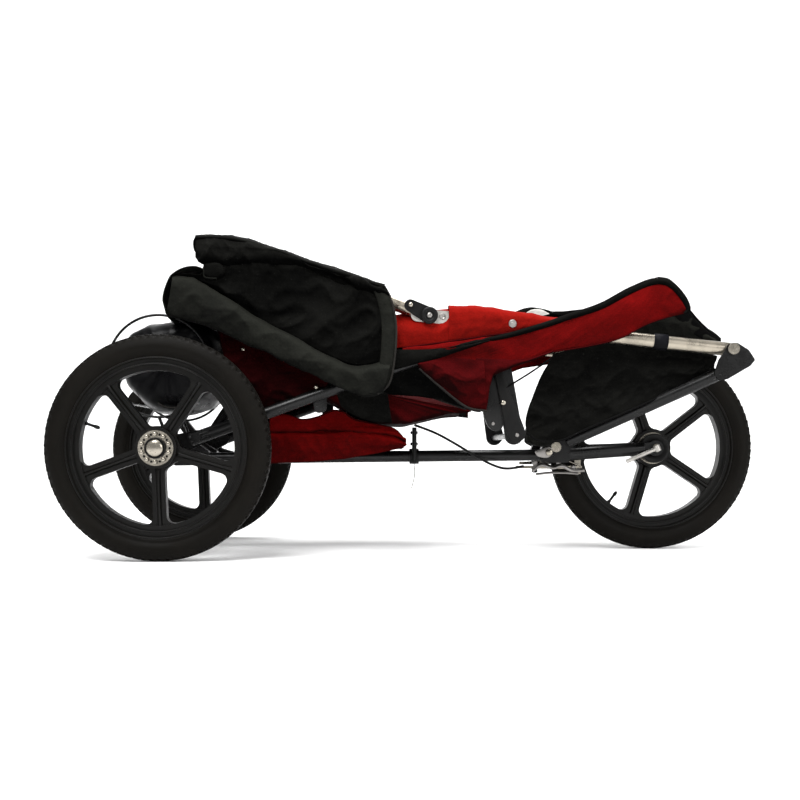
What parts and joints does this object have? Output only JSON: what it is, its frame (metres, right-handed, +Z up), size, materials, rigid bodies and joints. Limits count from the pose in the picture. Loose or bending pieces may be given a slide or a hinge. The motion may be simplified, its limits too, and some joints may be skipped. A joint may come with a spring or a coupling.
{
  "type": "jogging stroller",
  "caption": "Folding jogging stroller on spoked air-tyred wheels, folded flat: tube frame, fabric seat, canopy, handlebar and rim brake.",
  "frame": {"origin": "on the floor, midway between the front tyre's front edge and the rear tyres' back edge, on the centre plane", "axes": "+X to the front wheel, +Y to the rider's left, +Z up"},
  "size_m": [1.331, 0.65, 0.5979],
  "materials": {
    "black_steel": "gloss black paint",
    "steel": "plain",
    "aluminium": "satin",
    "black_plastic": "satin",
    "tyre": "matte",
    "red_fabric": "woven",
    "black_fabric": "woven",
    "foam": "matte foam"
  },
  "bodies": {
    "base": {"lower_rail_left": "black_steel", "lower_rail_right": "black_steel", "fork_blade_left": "black_steel", "fork_blade_right": "black_steel", "fork_lug_left": "black_steel", "fork_lug_right": "black_steel", "link_bolt_left": "steel", "link_bolt_right": "steel", "axle_lug_left": "black_steel", "axle_lug_right": "black_steel", "strut_bracket_left": "black_steel", "strut_bracket_right": "black_steel", "rear_axle": "steel", "front_axle": "steel", "caliper_bridge": "black_steel", "cable_guide": "black_plastic", "brake_cable": "black_plastic", "basket_pan": "red_fabric", "cargo_bag": "black_fabric", "cargo_hoop": "steel"},
    "front_link": {"front_link_left": "black_steel", "front_link_right": "black_steel", "head_bolt_left": "steel", "head_bolt_right": "steel"},
    "main_frame": {"main_tube_left": "aluminium", "main_tube_right": "aluminium", "hinge_plate_left": "aluminium", "hinge_plate_right": "aluminium", "side_panel_left": "red_fabric", "side_panel_right": "red_fabric", "back_cross_tube": "black_steel", "seat_cross_tube": "black_steel", "seat_hanger": "black_steel", "seat_sling": "red_fabric", "footwell_left": "black_fabric", "footwell_right": "black_fabric", "footwell_top": "black_fabric"},
    "rear_strut": {"rear_strut_left": "black_steel", "rear_strut_right": "black_steel"},
    "handlebar": {"handlebar_tube": "aluminium", "foam_grip": "foam", "hinge_lever_left": "black_steel", "hinge_lever_right": "black_steel", "brake_mount": "black_plastic"},
    "brake_lever": {"brake_lever": "aluminium"},
    "canopy": {"canopy_bow": "black_steel", "canopy_shell": "black_fabric"},
    "rear_left_wheel": {"rear_left_wheel": "black_plastic", "rear_left_tyre": "tyre", "rear_left_hub": "aluminium"},
    "rear_right_wheel": {"rear_right_wheel": "black_plastic", "rear_right_tyre": "tyre", "rear_right_hub": "aluminium"},
    "front_wheel": {"front_wheel": "black_plastic", "front_tyre": "tyre", "front_hub": "aluminium"},
    "caliper_left": {"caliper_arm_left": "aluminium"},
    "caliper_right": {"caliper_arm_right": "aluminium"},
    "qr_lever": {"qr_lever": "aluminium"}
  },
  "joints": [
    {"name": "link_fold", "type": "hinge", "parent": "base", "child": "front_link", "pos_m": [0.2633, 0, 0.2019], "axis": [0, -1, 0], "range_deg": [0, 39.6]},
    {"name": "frame_fold", "type": "hinge", "parent": "front_link", "child": "main_frame", "pos_m": [0.5665, 0, 0.38], "axis": [0, 1, 0], "range_deg": [0, 53.1]},
    {"name": "strut_fold", "type": "hinge", "parent": "base", "child": "rear_strut", "pos_m": [-0.4089, 0, 0.2195], "axis": [0, -1, 0], "range_deg": [0, 28]},
    {"name": "handlebar_tilt", "type": "hinge", "parent": "main_frame", "child": "handlebar", "pos_m": [0.0153, 0, 0.4396], "axis": [0, 1, 0], "range_deg": [0, 25]},
    {"name": "canopy_swing", "type": "hinge", "parent": "handlebar", "child": "canopy", "pos_m": [-0.0415, 0, 0.461], "axis": [0, 1, 0], "range_deg": [0, 95]},
    {"name": "brake_pull", "type": "hinge", "parent": "handlebar", "child": "brake_lever", "pos_m": [-0.362, 0.118, 0.569], "axis": [0, 0, -1], "range_deg": [0, 12]},
    {"name": "rear_left_spin", "type": "hinge", "parent": "base", "child": "rear_left_wheel", "pos_m": [-0.4655, 0.29, 0.2], "axis": [0, 1, 0], "continuous": true},
    {"name": "rear_right_spin", "type": "hinge", "parent": "base", "child": "rear_right_wheel", "pos_m": [-0.4655, -0.29, 0.2], "axis": [0, 1, 0], "continuous": true},
    {"name": "front_spin", "type": "hinge", "parent": "base", "child": "front_wheel", "pos_m": [0.4655, 0, 0.2], "axis": [0, 1, 0], "continuous": true},
    {"name": "caliper_left_close", "type": "hinge", "parent": "base", "child": "caliper_left", "pos_m": [0.236, 0, 0.17], "axis": [0, 0, -1], "range_deg": [0, 1.25]},
    {"name": "caliper_right_close", "type": "hinge", "parent": "base", "child": "caliper_right", "pos_m": [0.236, 0, 0.162], "axis": [0, 0, 1], "range_deg": [0, 1.25]},
    {"name": "qr_flip", "type": "hinge", "parent": "base", "child": "qr_lever", "pos_m": [0.4655, -0.067, 0.2], "axis": [-0.3903, 0, 0.9207], "range_deg": [0, 170]}
  ],
  "couplings": [
    {"joint": "frame_fold", "follows": "link_fold", "ratio": 1.3381},
    {"joint": "strut_fold", "follows": "link_fold", "ratio": 0.7048},
    {"joint": "caliper_left_close", "follows": "brake_pull", "ratio": 0.1},
    {"joint": "caliper_right_close", "follows": "brake_pull", "ratio": 0.1}
  ]
}
